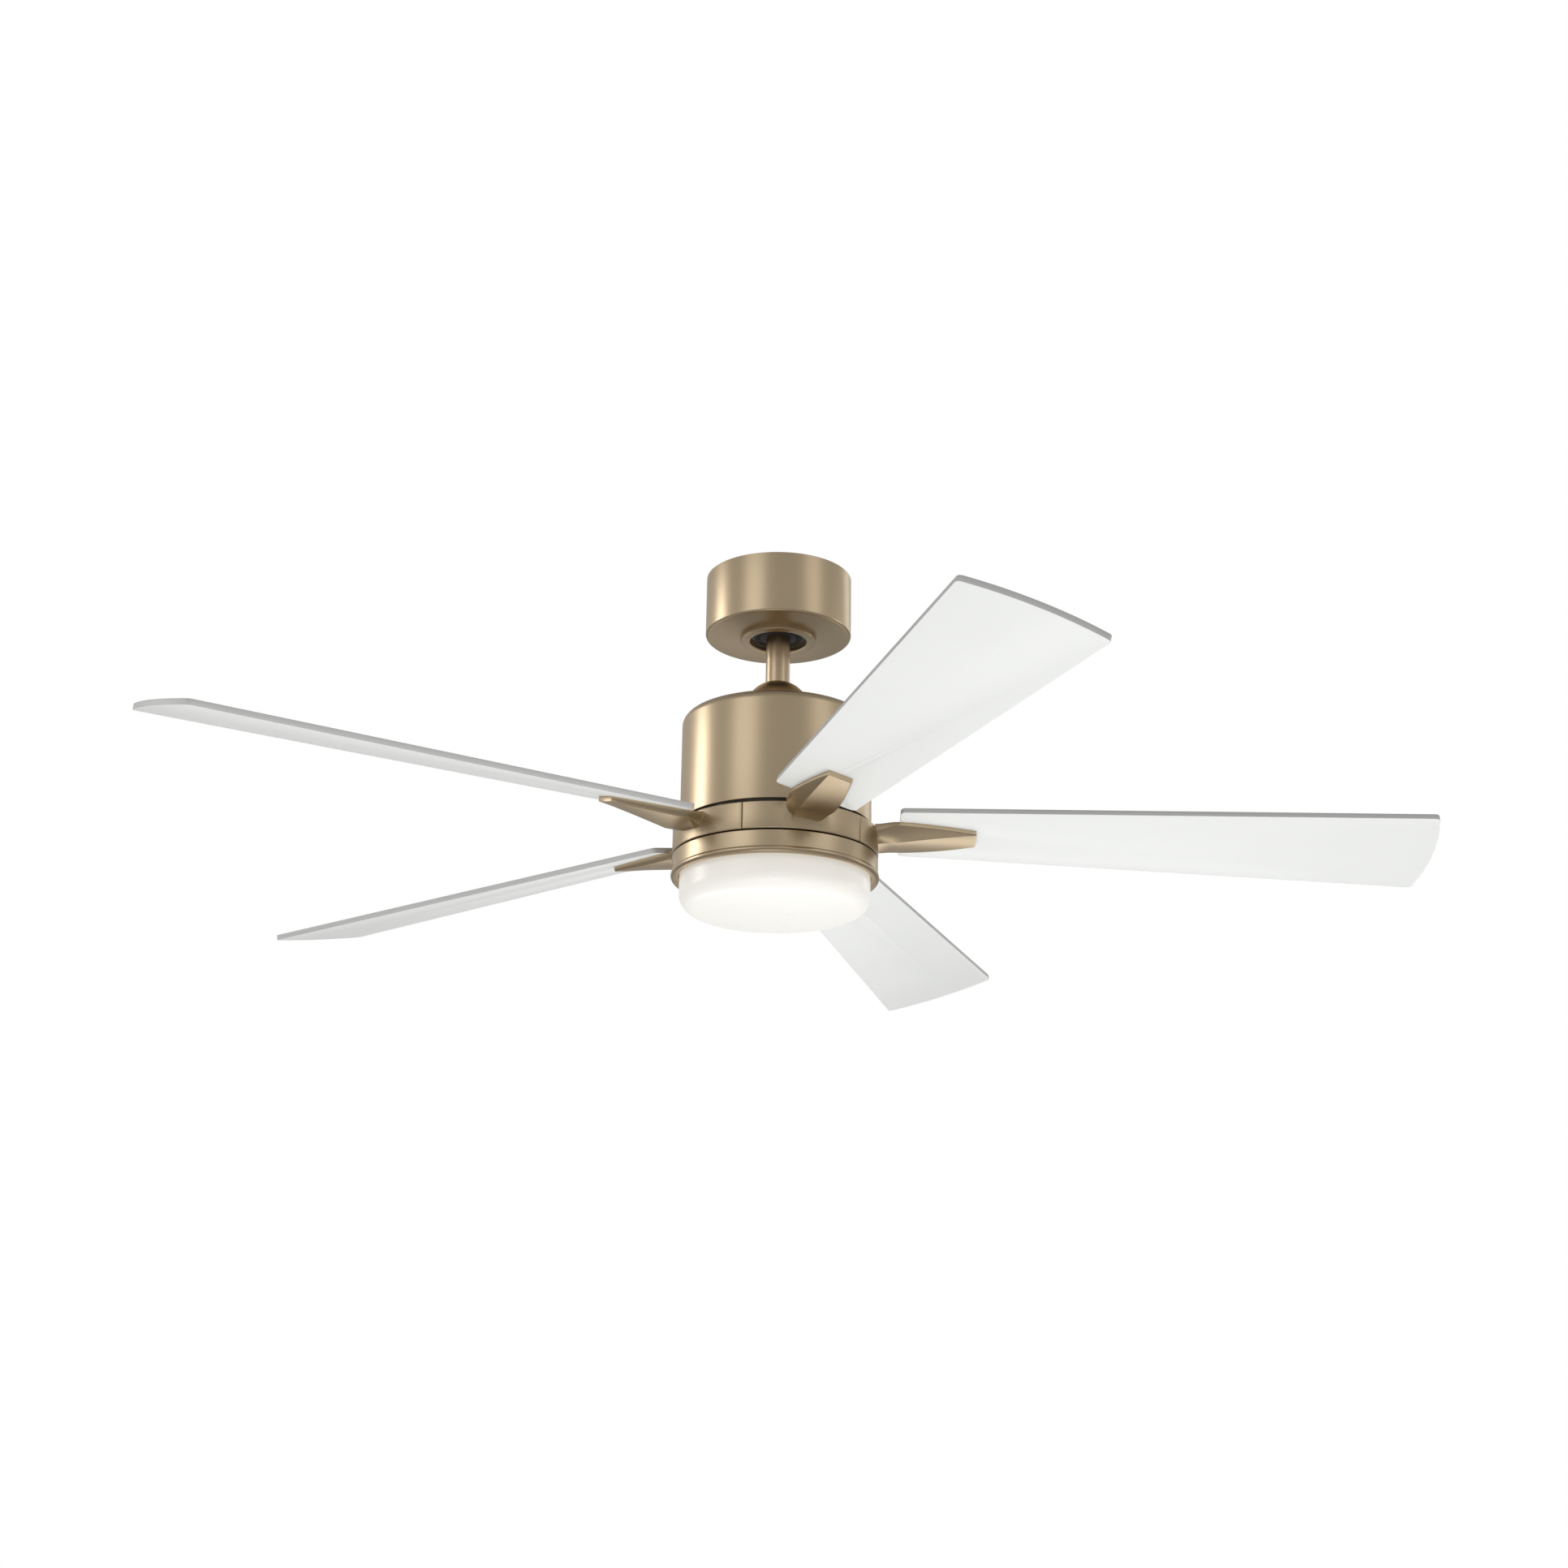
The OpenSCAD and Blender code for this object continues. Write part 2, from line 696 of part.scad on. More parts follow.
// The fan's own leads, inside the rod and the hollow shaft all the way, taped where they bend
module lead_bundle() {
    run = lead_bend_top - lead_bend_bottom;
    slant = atan2(lead_side, run);
    color(lead_red) {
        translate([lead_side, 0, lead_bend_top]) cylinder(r = lead_r, h = lead_top - lead_bend_top);
        translate([lead_side, 0, lead_bend_top]) sphere(r = lead_wrap_r);
        translate([0, 0, lead_bend_bottom]) rotate([0, slant, 0])
            cylinder(r = lead_r, h = sqrt(run * run + lead_side * lead_side));
        translate([0, 0, lead_bend_bottom]) sphere(r = lead_wrap_r);
        translate([0, 0, shaft_bottom]) cylinder(r = lead_r, h = lead_bend_bottom - shaft_bottom);
    }
}

// A closed ball bearing: two races with a shield set back between them
module bearing(low) {
    shield = 0.6;
    color(steel) translate([0, 0, low]) {
        tube(bearing_r - fit, bearing_r - race_t, 0, bearing_h);
        tube(shaft_r + race_t + fit, shaft_r + fit, 0, bearing_h);
        tube(bearing_r - race_t + fit, shaft_r + race_t, shield, bearing_h - shield);
    }
}

module upper_bearing() {
    bearing(rotor_top - rotor_plate_t - bearing_h);
}

module lower_bearing() {
    bearing(rotor_bottom + rotor_plate_t);
}

// One half of the spinning motor body, drawn as the lower one
module rotor_half() {
    hole_r = shaft_r + 2;
    pocket_top = rotor_bottom + rotor_plate_t + bearing_h;
    difference() {
        union() {
            tube(rotor_wall_r, rotor_in_r, rotor_bottom, rotor_mid);
            tube(rotor_wall_r, hole_r, rotor_bottom, rotor_bottom + rotor_plate_t);
            tube(bearing_r + bearing_wall, bearing_r, rotor_bottom, pocket_top);
            tube(rotor_flange_r, rotor_in_r, rotor_mid - rotor_flange_t, rotor_mid);
        }
        at_turns(rotor_screw_r, even_turns(6, 30)) translate([0, 0, rotor_mid - rotor_flange_t - eps])
            cylinder(d = rotor_screw_d + 2 * fit, h = rotor_flange_t + 2 * eps);
    }
}

module rotor_bottom_cover() {
    color(cast_metal) difference() {
        rotor_half();
        at_turns(hub_screw_r, even_turns(blade_count)) translate([0, 0, rotor_bottom - eps])
            cylinder(d = hub_screw_d + 2 * fit, h = rotor_plate_t + 2 * eps);
    }
}

module rotor_top_cover() {
    color(cast_metal) translate([0, 0, 2 * rotor_mid]) mirror([0, 0, 1]) rotor_half();
}

module rotor_ring() {
    color(dark_steel)
        tube(rotor_in_r - fit, core_r + air_gap, rotor_mid - core_h / 2, rotor_mid + core_h / 2);
}

module rotor_screws() {
    color(steel) at_turns(rotor_screw_r, even_turns(6, 30)) translate([0, 0, rotor_mid + rotor_flange_t])
        mirror([0, 0, 1]) screw_up(rotor_screw_d, 2 * rotor_flange_t - 0.2, rotor_screw_head_d, 2);
}

// ---- Blade hub and arms ----

function arm_screw_turns() = [for (i = [0 : blade_count - 1], side = [-1, 1])
    i * blade_step + side * arm_screw_turn];

module blade_hub() {
    color(cast_metal) difference() {
        tube(hub_r, hub_hole_r, band_top, rotor_bottom);
        translate([0, 0, band_top - eps]) cylinder(r = hub_pocket_r, h = hub_t - hub_plate_t + eps);
        at_turns(hub_screw_r, even_turns(blade_count)) translate([0, 0, band_top])
            cylinder(d = hub_screw_d + 2 * fit, h = hub_t + eps);
        at_turns(arm_screw_r, arm_screw_turns()) translate([0, 0, band_top - eps])
            cylinder(d = arm_screw_d + 2 * fit, h = arm_screw_grip + eps);
    }
}

module hub_screws() {
    color(steel) at_turns(hub_screw_r, even_turns(blade_count)) translate([0, 0, rotor_bottom - hub_plate_t])
        screw_up(hub_screw_d, hub_plate_t + rotor_plate_t - 0.3, hub_screw_head_d, hub_screw_head_h);
}

module arm_screws() {
    color(steel) at_turns(arm_screw_r, arm_screw_turns()) translate([0, 0, band_top - web_t])
        screw_up(arm_screw_d, web_t + arm_screw_grip - 0.3, arm_screw_head_d, arm_screw_head_h);
}

module band_profile() {
    c = band_chamfer;
    polygon([[web_in_r, band_top], [band_r - c, band_top], [band_r, band_top - c], [band_r, band_bottom + c],
        [band_r - c, band_bottom], [band_in_r, band_bottom], [band_in_r, band_top - web_t],
        [web_in_r, band_top - web_t]]);
}

// Into the plane of the blade that points along +X: x outwards, y across, z off the upper face
module in_blade_plane(index) {
    rotate(index * blade_step) translate([0, 0, blade_plane]) rotate([0, blade_droop, 0])
        rotate([-blade_pitch, 0, 0]) children();
}

// Across the arm, as [sideways, up] points: at the band it is a block with rounded corners
function root_section() = let (w = arm_root_w / 2, h = keel_root_h)
    [[-w, 0], [w, 0], [w - 0.5, -h * 0.41], [w * 0.81, -h * 0.79], [w * 0.51, -h],
     [-w * 0.51, -h], [-w * 0.81, -h * 0.79], [-w + 0.5, -h * 0.41]];

// Further out it is a thin-edged plate with an off-centre ridge, t running from the blade's root to the tip
function plate_section(t) = let (
        w = arm_mid_w / 2 - (arm_mid_w - arm_tip_w) / 2 * pow(t, 1.5),
        ridge_h = arm_tip_t + (keel_h - arm_tip_t) * pow(1 - t, 1.15),
        edge_h = arm_tip_t + (keel_edge_t - arm_tip_t) * (1 - t * t),
        ridge = mix(ridge_w, arm_tip_w / 2 - 0.5, t),
        side_h = min(keel_side_t, ridge_h - 0.6))
    [[-w, 0], [w, 0], [w, -edge_h * 0.4], [w - 0.3, -edge_h * 0.75], [w - 1.2, -edge_h],
     [-ridge, -ridge_h], [-(w + ridge) / 2, -(side_h + ridge_h) / 2], [-w, -side_h]];

// The lean grows to the blade's pitch, and the sections are carried out along the arm
function turned(p, a) = [p[0] * cos(a) - p[1] * sin(a), p[0] * sin(a) + p[1] * cos(a)];
function root_ring(k) = let (
        root = root_section(),
        plate = plate_section(0),
        lean = -blade_pitch * mix(root_lean, 1, smooth(k)))
    [for (j = [0 : 7]) turned(mix(root[j], plate[j], smooth(k)), lean)];
function plate_ring(t) = [for (p = plate_section(t)) turned(p, -blade_pitch)];
function keel_rings() = concat(
    [for (i = [0 : keel_root_steps - 1]) let (k = i / keel_root_steps)
        [for (p = root_ring(k)) [mix(keel_root_s, twist_end_s, k), p[0], p[1]]]],
    [for (i = [0 : keel_steps]) let (t = i / keel_steps)
        [for (p = plate_ring(t)) [mix(twist_end_s, arm_tip_s, t), p[0], p[1]]]]);

module keel() {
    rings = keel_rings();
    n = len(rings);
    polyhedron(
        points = [for (ring = rings, p = ring) p],
        faces = concat(
            [[for (j = [7 : -1 : 0]) j]],
            [[for (j = [0 : 7]) (n - 1) * 8 + j]],
            [for (i = [0 : n - 2], j = [0 : 7]) [i * 8 + j, i * 8 + (j + 1) % 8, (i + 1) * 8 + j]],
            [for (i = [0 : n - 2], j = [0 : 7])
                [(i + 1) * 8 + j, i * 8 + (j + 1) % 8, (i + 1) * 8 + (j + 1) % 8]]));
}

// One arm: its fifth of the band, the web that is screwed to the hub, and the keel under the blade
module blade_arm(index) {
    seam = seam_w / band_r * 180 / PI;
    color(champagne) difference() {
        union() {
            rotate(index * blade_step - (blade_step - seam) / 2) rotate_extrude(angle = blade_step - seam)
                band_profile();
            rotate(index * blade_step) translate([0, 0, blade_plane]) rotate([0, blade_droop, 0]) keel();
        }
        at_turns(arm_screw_r, [index * blade_step - arm_screw_turn, index * blade_step + arm_screw_turn])
            translate([0, 0, band_top - web_t - eps])
                cylinder(d = arm_screw_d + 4 * fit, h = web_t + 2 * eps);
        in_blade_plane(index) for (p = blade_screws_at) translate([p[0], p[1], -blade_screw_grip - 0.2])
            cylinder(d = blade_screw_d + 2 * fit, h = blade_screw_grip + 0.2 + eps);
    }
}

module blade_arm_1() { blade_arm(0); }
module blade_arm_2() { blade_arm(1); }
module blade_arm_3() { blade_arm(2); }
module blade_arm_4() { blade_arm(3); }
module blade_arm_5() { blade_arm(4); }

// ---- Blades ----

// Outline of a blade: straight flared sides, rounded corners and a bulging tip
module blade_outline() {
    root_w = blade_root_w / 2;
    c = blade_corner_r;
    flare = atan2(tip_half_w - root_w, tip_corner_s - blade_root_s);
    tip_centre = [tip_s - tip_arc_r, 0];
    // the corner circle touches the side from inside and the tip arc from inside
    inner_r = tip_arc_r - c;
    side_dir = [cos(flare), sin(flare)];
    side_from = [blade_root_s + c * sin(flare), root_w - c * cos(flare)];
    away = side_from - tip_centre;
    b = away * side_dir;
    run = -b + sqrt(b * b - away * away + inner_r * inner_r);
    tip_corner = side_from + run * side_dir;
    tip_turn = atan2(tip_corner[1], tip_corner[0] - tip_centre[0]);
    root_corner = [blade_root_s + c, root_w + c * tan(flare) - c / cos(flare)];
    upper = concat(
        arc(tip_centre, tip_arc_r, 0, tip_turn, 10),
        arc(tip_corner, c, tip_turn, 90 + flare, 6),
        arc(root_corner, c, 90 + flare, 180, 6));
    lower = [for (i = [len(upper) - 1 : -1 : 1]) [upper[i][0], -upper[i][1]]];
    polygon(concat(upper, lower));
}

module blade(index) {
    color(white_board) in_blade_plane(index) difference() {
        linear_extrude(blade_t) blade_outline();
        for (p = blade_screws_at) translate([p[0], p[1], -eps])
            cylinder(d = blade_hole_d, h = blade_t + 2 * eps);
    }
}

module blade_1() { blade(0); }
module blade_2() { blade(1); }
module blade_3() { blade(2); }
module blade_4() { blade(3); }
module blade_5() { blade(4); }

module at_blade_screws(height) {
    for (i = [0 : blade_count - 1]) in_blade_plane(i)
        for (p = blade_screws_at) translate([p[0], p[1], height]) children();
}

module blade_washers() {
    color(steel) at_blade_screws(blade_t) tube(washer_d / 2, blade_screw_d / 2 + 2 * fit, 0, washer_t);
}

module blade_screws() {
    l = washer_t + blade_t + blade_screw_grip;
    color(champagne) at_blade_screws(blade_t + washer_t) mirror([0, 0, 1])
        screw_up(blade_screw_d, l, blade_screw_head_d, blade_screw_head_h);
}

// ---- Light kit ----

function foot_holes(size, at) = [for (side = [-1, 1]) [at[0] + side * (size[0] + foot_l) / 2, at[1]]];

module light_pan() {
    color(cast_metal) difference() {
        tube(pan_r, shaft_r + fit, pan_bottom, pan_top);
        at_turns(ring_screw_r, even_turns(3, 60)) translate([0, 0, pan_bottom - eps])
            cylinder(d = ring_screw_d + 2 * fit, h = pan_t + 2 * eps);
        at_turns(board_screw_r, even_turns(3)) translate([0, 0, pan_bottom - eps])
            cylinder(d = small_screw_d + 2 * fit, h = pan_t + 2 * eps);
        for (p = concat(foot_holes(driver, driver_at), foot_holes(capacitor, capacitor_at)))
            translate([p[0], p[1], pan_bottom - eps])
                cylinder(d = small_screw_d + 2 * fit, h = pan_t + 2 * eps);
    }
}

module shaft_nut(low) {
    translate([0, 0, low]) difference() {
        cylinder(r = nut_r, h = nut_h, $fn = 6);
        translate([0, 0, -eps]) cylinder(r = shaft_r + fit, h = nut_h + 2 * eps);
    }
}

module shaft_nuts() {
    color(steel) {
        shaft_nut(pan_top);
        shaft_nut(pan_bottom - nut_h);
    }
}

// A box with a screwed foot at each end, standing on the pan
module footed_box(size, at) {
    translate([at[0], at[1], pan_top]) difference() {
        union() {
            translate([-size[0] / 2, -size[1] / 2, 0]) cube(size);
            translate([-size[0] / 2 - foot_l, -foot_l / 2, 0]) cube([size[0] + 2 * foot_l, foot_l, foot_t]);
        }
        for (side = [-1, 1]) translate([side * (size[0] + foot_l) / 2, 0, -eps])
            cylinder(d = small_screw_d + 2 * fit, h = foot_t + 2 * eps);
    }
}

module foot_screws(size, at) {
    for (p = foot_holes(size, at)) translate([p[0], p[1], pan_top + foot_t]) mirror([0, 0, 1])
        screw_up(small_screw_d, foot_t + pan_t - 0.1, small_screw_head_d, small_screw_head_h);
}

module led_driver() { color(white_board) footed_box(driver, driver_at); }
module run_capacitor() { color(black_plastic) footed_box(capacitor, capacitor_at); }
module driver_screws() { color(steel) foot_screws(driver, driver_at); }
module capacitor_screws() { color(steel) foot_screws(capacitor, capacitor_at); }

// Straight band, inward top flange and a full bead along the lower edge
module light_ring() {
    color(champagne) difference() {
        rotate_extrude() {
            translate([ring_in_r, bead_z]) square([ring_wall, ring_top - bead_z]);
            translate([ring_flange_in_r, pan_top]) square([ring_r - ring_flange_in_r, sheet_t]);
            intersection() {
                translate([bead_centre_r, bead_z]) circle(bead_r);
                translate([bead_mouth_r, ring_bottom - eps]) square([bead_r * 3, bead_r * 3]);
            }
        }
        at_turns(ring_screw_r, even_turns(3, 60)) translate([0, 0, pan_top - eps])
            cylinder(d = ring_screw_d + 2 * fit, h = sheet_t + 2 * eps);
        for (a = even_turns(pin_count, 90)) rotate(a) translate([ring_in_r - eps, 0, bayonet_z])
            rotate([0, 90, 0]) cylinder(r = bayonet_r + fit, h = 1 + eps);
    }
}

module ring_screws() {
    color(steel) at_turns(ring_screw_r, even_turns(3, 60)) translate([0, 0, pan_bottom])
        screw_up(ring_screw_d, pan_t + sheet_t - 0.1, ring_screw_head_d, ring_screw_head_h);
}

// Stubs inside the light ring that the glass hangs on
module bayonet_pins() {
    color(steel) for (a = even_turns(pin_count, 90)) rotate(a)
        translate([bayonet_tip_r, 0, bayonet_z]) rotate([0, 90, 0])
            cylinder(r = bayonet_r, h = ring_in_r + 0.9 - bayonet_tip_r);
}

module led_board() {
    color(white_board) difference() {
        tube(board_r, board_hole_r, pan_bottom - board_t, pan_bottom);
        at_turns(board_screw_r, even_turns(3)) translate([0, 0, pan_bottom - board_t - eps])
            cylinder(d = small_screw_d + 2 * fit, h = board_t + 2 * eps);
    }
}

module led_chips() {
    low = pan_bottom - board_t - led_t;
    color(led_yellow) for (ring = led_rings) at_turns(ring[0], even_turns(ring[1], 6))
        translate([-led_size / 2, -led_size / 2, low]) cube([led_size, led_size, led_t]);
}

module board_screws() {
    color(steel) at_turns(board_screw_r, even_turns(3)) translate([0, 0, pan_bottom - board_t])
        screw_up(small_screw_d, board_t + pan_t - 0.1, small_screw_head_d, small_screw_head_h);
}

// A wedge of the collar between two angles, as a cutter
module wedge(from, to, low, high) {
    rotate(from) rotate_extrude(angle = to - from) translate([collar_in_r - eps, low])
        square([collar_t + 2 * eps, high - low]);
}

// Metal collar cemented round the neck of the glass, with a bayonet slot for each stub
module shade_collar() {
    reach = asin(bayonet_run_half_h / collar_in_r);
    low = bayonet_z - bayonet_run_half_h;
    color(cast_metal) difference() {
        tube(collar_r, collar_in_r, collar_bottom, collar_top);
        for (a = even_turns(pin_count, 90)) {
            wedge(a - reach, a + twist, low, bayonet_z + bayonet_run_half_h);
            wedge(a + twist - reach, a + twist + reach, low, collar_top + eps);
        }
    }
}

// Side, rounded corner and shallow dome, set in from the outer face by a depth
module glass_profile(inset, top) {
    translate([0, corner_z]) square([glass_r - inset, top - corner_z]);
    translate([corner_reach, corner_z]) circle(glass_corner_r - inset);
    intersection() {
        translate([0, dome_z]) circle(dome_r - inset, $fn = 720);
        translate([0, glass_bottom - eps]) square([dome_edge_r, corner_z - glass_bottom + 2 * eps]);
    }
}

module glass_shade() {
    color(opal) rotate_extrude() difference() {
        union() {
            glass_profile(0, collar_bottom - fit);
            translate([0, collar_bottom - eps]) square([neck_r, neck_top - collar_bottom + eps]);
        }
        intersection() {
            union() {
                glass_profile(glass_t, collar_bottom);
                translate([0, corner_z]) square([neck_r - glass_t, neck_top - corner_z + eps]);
            }
            translate([0, glass_bottom]) square([glass_r, glass_drop + ring_h]);
        }
    }
}

hanger_bracket();
ground_screw();
control_receiver();
canopy();
canopy_screws();
canopy_ring();
ball_liner();
hanger_ball();
ball_cross_pin();
ball_set_screw();
downrod();
coupling_cover();
motor_coupling();
coupling_pin();
coupling_cotter();
coupling_set_screws();
motor_housing();
housing_screws();
motor_shaft();
stator_core();
stator_windings();
lead_bundle();
upper_bearing();
lower_bearing();
rotor_top_cover();
rotor_bottom_cover();
rotor_ring();
rotor_screws();
blade_hub();
hub_screws();
arm_screws();
blade_arm_1();
blade_arm_2();
blade_arm_3();
blade_arm_4();
blade_arm_5();
blade_1();
blade_2();
blade_3();
blade_4();
blade_5();
blade_washers();
blade_screws();
light_pan();
shaft_nuts();
led_driver();
driver_screws();
run_capacitor();
capacitor_screws();
light_ring();
ring_screws();
bayonet_pins();
led_board();
led_chips();
board_screws();
shade_collar();
glass_shade();
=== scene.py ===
import json
import math
import bpy
from mathutils import Matrix, Vector


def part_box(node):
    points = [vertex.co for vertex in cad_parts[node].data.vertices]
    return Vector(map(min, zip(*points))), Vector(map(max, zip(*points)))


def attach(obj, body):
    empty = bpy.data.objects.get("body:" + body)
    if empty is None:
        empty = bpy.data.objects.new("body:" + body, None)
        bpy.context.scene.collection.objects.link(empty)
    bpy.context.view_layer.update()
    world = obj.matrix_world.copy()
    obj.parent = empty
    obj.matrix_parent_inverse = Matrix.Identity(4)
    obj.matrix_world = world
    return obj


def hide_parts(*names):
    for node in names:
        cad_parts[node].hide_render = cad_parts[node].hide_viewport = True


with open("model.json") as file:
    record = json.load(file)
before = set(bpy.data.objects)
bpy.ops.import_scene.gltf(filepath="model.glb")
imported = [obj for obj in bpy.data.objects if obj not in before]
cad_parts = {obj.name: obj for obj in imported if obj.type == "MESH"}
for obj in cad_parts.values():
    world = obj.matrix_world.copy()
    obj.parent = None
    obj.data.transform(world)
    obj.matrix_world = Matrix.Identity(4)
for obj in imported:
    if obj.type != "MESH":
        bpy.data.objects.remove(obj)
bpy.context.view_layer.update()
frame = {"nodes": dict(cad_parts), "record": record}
nodes = frame["nodes"]
bodyOf = {name: body for body, names in frame["record"]["behaviour"]["bodies"].items() for name in names}
slotOf = {row["node"]: row["material_slot"] for row in frame["record"]["subparts"]}
print("frame loaded:", len(nodes), "nodes")


# camera, floor and lights

view = {
    "place": (0.0189, -2.3803, -1.0227),
    "yaw": -0.264,  # degrees, to the right of +Y
    "pitch": 18.571,  # looking up at the fan
    "roll": 0.771,
    "lens": 56.88,
    "sensor": 36.0,
    "reach": 300.0,  # how far the camera sees, past the floor's edge
}

studio = {
    "middle": (0.0, 0.0, -0.2),  # what the lights are turned to
    "floorDrop": 7.0,  # below every view from underneath
    "floorSize": 180.0,
    "floorColor": (0.86, 0.86, 0.85, 1.0),
    "floorGlow": 0.45,
    "floorRough": 0.8,
    # name, turn from the camera's side (left is negative), height angle, distance, width, height, watts
    "lamps": [
        ("stripLeft", -100, 13, 3.0, 0.8, 1.2, 14),
        ("softLeft", -38, 20, 3.2, 1.6, 1.6, 7.2),
        ("softRight", 56, 24, 3.2, 1.3, 1.6, 4.2),
        ("stripRight", 104, 4, 3.2, 0.9, 1.0, 6.5),
        ("edgeRight", 138, 24, 3.2, 0.9, 1.6, 4),
    ],
    # these show only as reflections, mostly in the arms' undersides
    "mirrorLamps": [
        ("mirrorBack", -174, -45, 2.6, 2.4, 1.0, 12),
        ("mirrorFront", -8, -54, 2.6, 1.4, 1.0, 4.5),
    ],
    # these light the undersides, and metal doesn't mirror them
    "softLamps": [
        ("underFront", -10, -58, 2.6, 3.0, 2.2, 31),
        ("underRight", 115, -62, 2.6, 2.4, 2.2, 28),
    ],
    # brightness of the room by height, from straight down to straight up
    "sky": [(0.0, 0.48), (0.33, 0.26), (0.5, 0.38), (0.67, 0.56), (0.82, 0.42), (1.0, 0.27)],
    "skyColor": (1.0, 0.99, 0.97, 1.0),
    "backdrop": (1.0, 1.0, 1.0, 1.0),  # what the camera sees behind the fan
}


def setCamera():
    yaw, pitch, roll = (math.radians(view[key]) for key in ("yaw", "pitch", "roll"))
    ahead = Vector((math.sin(yaw) * math.cos(pitch), math.cos(yaw) * math.cos(pitch), math.sin(pitch)))
    right = Vector((math.cos(yaw), -math.sin(yaw), 0))
    up = right.cross(ahead)
    turnedRight = right * math.cos(roll) + up * math.sin(roll)
    turnedUp = up * math.cos(roll) - right * math.sin(roll)
    data = bpy.data.cameras.new("camera")
    data.lens = view["lens"]
    data.sensor_width = view["sensor"]
    data.clip_end = view["reach"]
    camera = bpy.data.objects.new("camera", data)
    bpy.context.scene.collection.objects.link(camera)
    camera.matrix_world = Matrix.Translation(view["place"]) @ Matrix(
        (turnedRight, turnedUp, -ahead)).transposed().to_4x4()
    bpy.context.scene.camera = camera


def addLamp(name, turn, rise, distance, width, height, watts):
    turn, rise = math.radians(turn), math.radians(rise)
    away = Vector((math.sin(turn) * math.cos(rise), -math.cos(turn) * math.cos(rise), math.sin(rise)))
    data = bpy.data.lights.new(name, "AREA")
    data.shape = "RECTANGLE"
    data.size = width
    data.size_y = height
    data.energy = watts
    lamp = bpy.data.objects.new(name, data)
    bpy.context.scene.collection.objects.link(lamp)
    lamp.location = Vector(studio["middle"]) + away * distance
    lamp.rotation_euler = away.to_track_quat("Z", "Y").to_euler()
    return lamp


# shader helpers

class Wire:  # a node's output that takes part in sums
    def __init__(self, look, socket):
        self.look = look
        self.socket = socket

    def sum(self, operation, first, second):
        return self.look.add("ShaderNodeMath", {"operation": operation}, {0: first, 1: second})

    def __add__(self, other):
        return self.sum("ADD", self, other)

    def __radd__(self, other):
        return self.sum("ADD", other, self)

    def __sub__(self, other):
        return self.sum("SUBTRACT", self, other)

    def __rsub__(self, other):
        return self.sum("SUBTRACT", other, self)

    def __mul__(self, other):
        return self.sum("MULTIPLY", self, other)

    def __rmul__(self, other):
        return self.sum("MULTIPLY", other, self)

    def __truediv__(self, other):
        return self.sum("DIVIDE", self, other)


class Look:  # a node tree that is built by adding nodes one after another
    def __init__(self, tree):
        self.tree = tree
        self.tree.nodes.clear()

    def add(self, kind, settings=None, values=None, output=0):
        node = self.tree.nodes.new(kind)
        for key, value in (settings or {}).items():
            if key == "stops":
                for index, (place, color) in enumerate(value):
                    stops = node.color_ramp.elements
                    stop = stops[index] if index < 2 else stops.new(place)
                    stop.position = place
                    stop.color = color
            else:
                setattr(node, key, value)
        for key, value in (values or {}).items():
            if isinstance(value, Wire):
                self.tree.links.new(value.socket, node.inputs[key])
            else:
                node.inputs[key].default_value = value
        return Wire(self, node.outputs[output]) if node.outputs else None

    def place(self, stretch=(1, 1, 1)):  # object coordinates, stretched along an axis for a grain
        spot = self.add("ShaderNodeTexCoord", output="Object")
        return self.add("ShaderNodeMapping", None, {"Vector": spot, "Scale": stretch})

    def noise(self, where, scale, detail=3.0, rough=0.5):
        return self.add("ShaderNodeTexNoise", None,
                        {"Vector": where, "Scale": scale, "Detail": detail, "Roughness": rough})

    def part(self, where, axis):  # one coordinate of a vector
        return self.add("ShaderNodeSeparateXYZ", None, {"Vector": where}, output=axis)

    def blend(self, amount, dark, light):
        return self.add("ShaderNodeMix", {"data_type": "RGBA"}, {0: amount, 6: dark, 7: light}, output=2)

    def bump(self, height, strength, distance):
        return self.add("ShaderNodeBump", None,
                        {"Height": height, "Strength": strength, "Distance": distance})


def tone(color, share):
    return tuple(part * share for part in color[:3]) + (1.0,)


def newMaterial(name, build, finish):
    material = bpy.data.materials.new(name)
    material.use_nodes = True
    look = Look(material.node_tree)
    shader = look.add("ShaderNodeBsdfPrincipled", None, build(look, finish), output="BSDF")
    look.add("ShaderNodeOutputMaterial", None, {"Surface": shader})
    material.diffuse_color = tuple(finish["color"][:3]) + (1.0,)
    return material


# materials

metalSkin = {
    "cloudDetail": 4.0,
    "cloudRough": 0.55,
    "grainDetail": 2.0,
    "grainGloss": 0.04,  # how far the grain moves the roughness
    "depth": 0.0002,  # of the grain, in metres
}
champagneSheet = {
    "color": (0.56, 0.445, 0.30), "rough": 0.33, "roughSpread": 0.04,
    "cloud": 9.0, "grain": 900.0, "grainBump": 0.010, "lift": 1.03, "drop": 0.97,
    "lineStretch": (0.02, 0.02, 1.0), "lineDetail": 3.0, "lineRough": 0.6, "lineGloss": 0.05,
    "speck": 1400.0, "lineShare": 0.6, "speckShare": 0.4,
}
champagneCast = {
    "color": (0.56, 0.445, 0.30), "rough": 0.35, "roughSpread": 0.05,
    "cloud": 22.0, "grain": 1500.0, "grainBump": 0.03, "lift": 1.03, "drop": 0.96,
}
zincSteel = {
    "color": (0.60, 0.61, 0.62), "rough": 0.30, "roughSpread": 0.16,
    "cloud": 60.0, "grain": 1100.0, "grainBump": 0.07, "lift": 1.12, "drop": 0.84,
}
# painted shade: a dark steel for the hanger bracket, standing in for the shade inside the canopy
paintedShadeSteel = {
    "color": (0.16, 0.16, 0.17), "rough": 0.42, "roughSpread": 0.14,
    "cloud": 70.0, "grain": 1300.0, "grainBump": 0.12, "lift": 1.15, "drop": 0.80,
}
